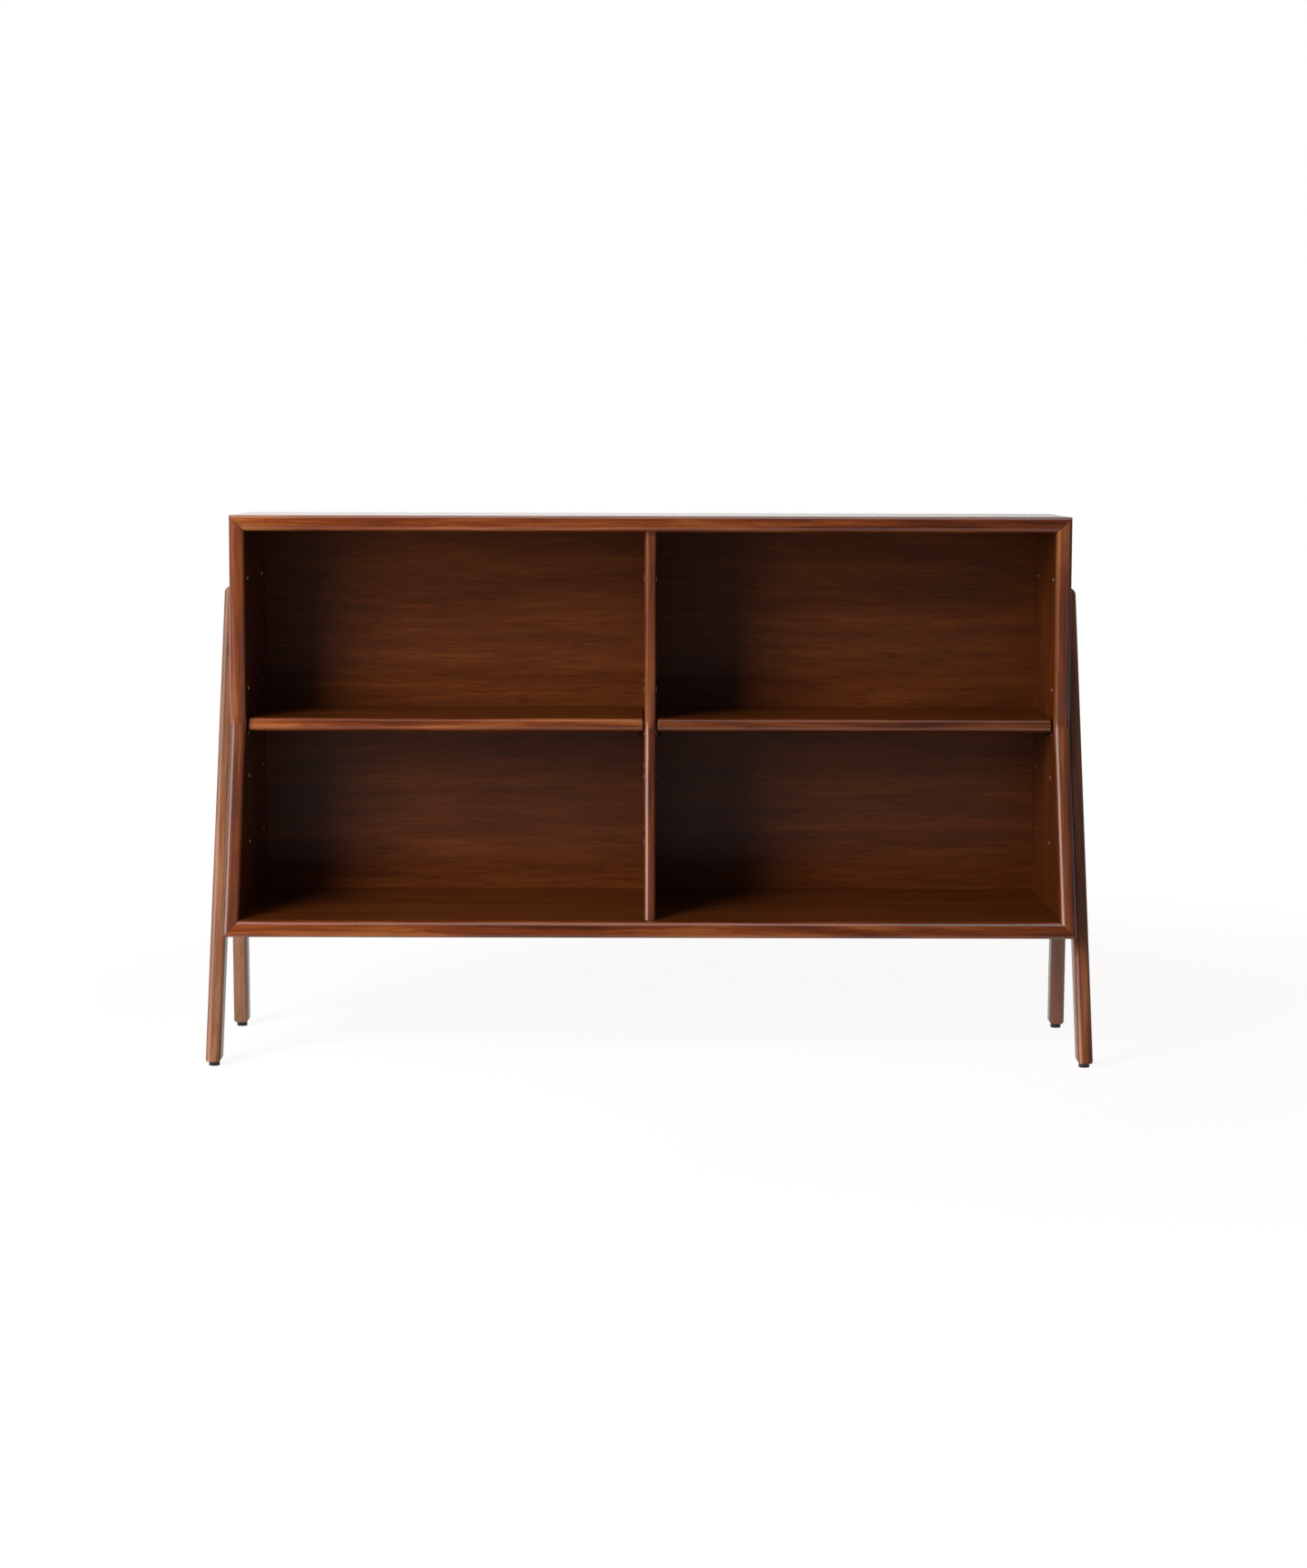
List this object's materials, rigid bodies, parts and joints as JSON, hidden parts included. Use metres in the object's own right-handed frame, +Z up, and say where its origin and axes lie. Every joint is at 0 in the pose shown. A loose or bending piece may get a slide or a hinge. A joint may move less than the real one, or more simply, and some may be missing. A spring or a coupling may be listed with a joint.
{
  "type": "low bookcase",
  "caption": "Low wide walnut bookcase: a mitred case with a bent front edge, a centre divider and loose shelves on slim slanted side legs.",
  "frame": {"origin": "on the floor, under the middle of the bookcase's overall box", "axes": "+X along the width to the right seen from the front, +Y to the back (the open front faces -Y), +Z up"},
  "size_m": [1.2956, 0.415, 0.8],
  "materials": {
    "walnut_veneer": "walnut veneered board, stained and satin lacquered",
    "walnut_back_veneer": "thin walnut veneered panel, satin lacquered",
    "walnut_lipping": "solid walnut edging, rounded and satin lacquered",
    "walnut_leg": "solid walnut, rounded and satin lacquered",
    "beech_dowel": "plain beech, glued",
    "black_nylon": "moulded black nylon",
    "nickel": "nickel plated steel",
    "zinc_steel": "bright zinc plated steel"
  },
  "bodies": {
    "case": {"back_panel": "walnut_back_veneer", "back_panel_screw_1": "zinc_steel", "back_panel_screw_2": "zinc_steel", "back_panel_screw_3": "zinc_steel", "back_panel_screw_4": "zinc_steel", "back_panel_screw_5": "zinc_steel", "back_panel_screw_6": "zinc_steel", "bottom_lipping": "walnut_lipping", "bottom_panel": "walnut_veneer", "centre_divider": "walnut_veneer", "divider_dowel_1": "beech_dowel", "divider_dowel_2": "beech_dowel", "divider_dowel_3": "beech_dowel", "divider_dowel_4": "beech_dowel", "divider_lower_lipping": "walnut_lipping", "divider_upper_lipping": "walnut_lipping", "front_left_glide": "black_nylon", "front_left_leg": "walnut_leg", "front_right_glide": "black_nylon", "front_right_leg": "walnut_leg", "left_leg_dowel_1": "beech_dowel", "left_leg_dowel_2": "beech_dowel", "left_leg_dowel_3": "beech_dowel", "left_leg_dowel_4": "beech_dowel", "left_leg_joint_dowel_1": "beech_dowel", "left_lower_lipping": "walnut_lipping", "left_lower_mitre_spline": "beech_dowel", "left_shelf_pin_1": "nickel", "left_shelf_pin_2": "nickel", "left_shelf_pin_3": "nickel", "left_shelf_pin_4": "nickel", "left_side_panel": "walnut_veneer", "left_upper_lipping": "walnut_lipping", "left_upper_mitre_spline": "beech_dowel", "rear_left_glide": "black_nylon", "rear_left_leg": "walnut_leg", "rear_right_glide": "black_nylon", "rear_right_leg": "walnut_leg", "right_leg_dowel_1": "beech_dowel", "right_leg_dowel_2": "beech_dowel", "right_leg_dowel_3": "beech_dowel", "right_leg_dowel_4": "beech_dowel", "right_leg_joint_dowel_1": "beech_dowel", "right_lower_lipping": "walnut_lipping", "right_lower_mitre_spline": "beech_dowel", "right_shelf_pin_1": "nickel", "right_shelf_pin_2": "nickel", "right_shelf_pin_3": "nickel", "right_shelf_pin_4": "nickel", "right_side_panel": "walnut_veneer", "right_upper_lipping": "walnut_lipping", "right_upper_mitre_spline": "beech_dowel", "top_lipping": "walnut_lipping", "top_panel": "walnut_veneer"},
    "left_loose_shelf": {"left_shelf": "walnut_veneer", "left_shelf_lipping": "walnut_lipping"},
    "right_loose_shelf": {"right_shelf": "walnut_veneer", "right_shelf_lipping": "walnut_lipping"}
  },
  "joints": [
    {"name": "left_shelf_slide", "type": "slide", "parent": "case", "child": "left_loose_shelf", "axis": [0, -1, 0], "range_m": [0, 0.26]},
    {"name": "right_shelf_slide", "type": "slide", "parent": "case", "child": "right_loose_shelf", "axis": [0, -1, 0], "range_m": [0, 0.26]}
  ]
}
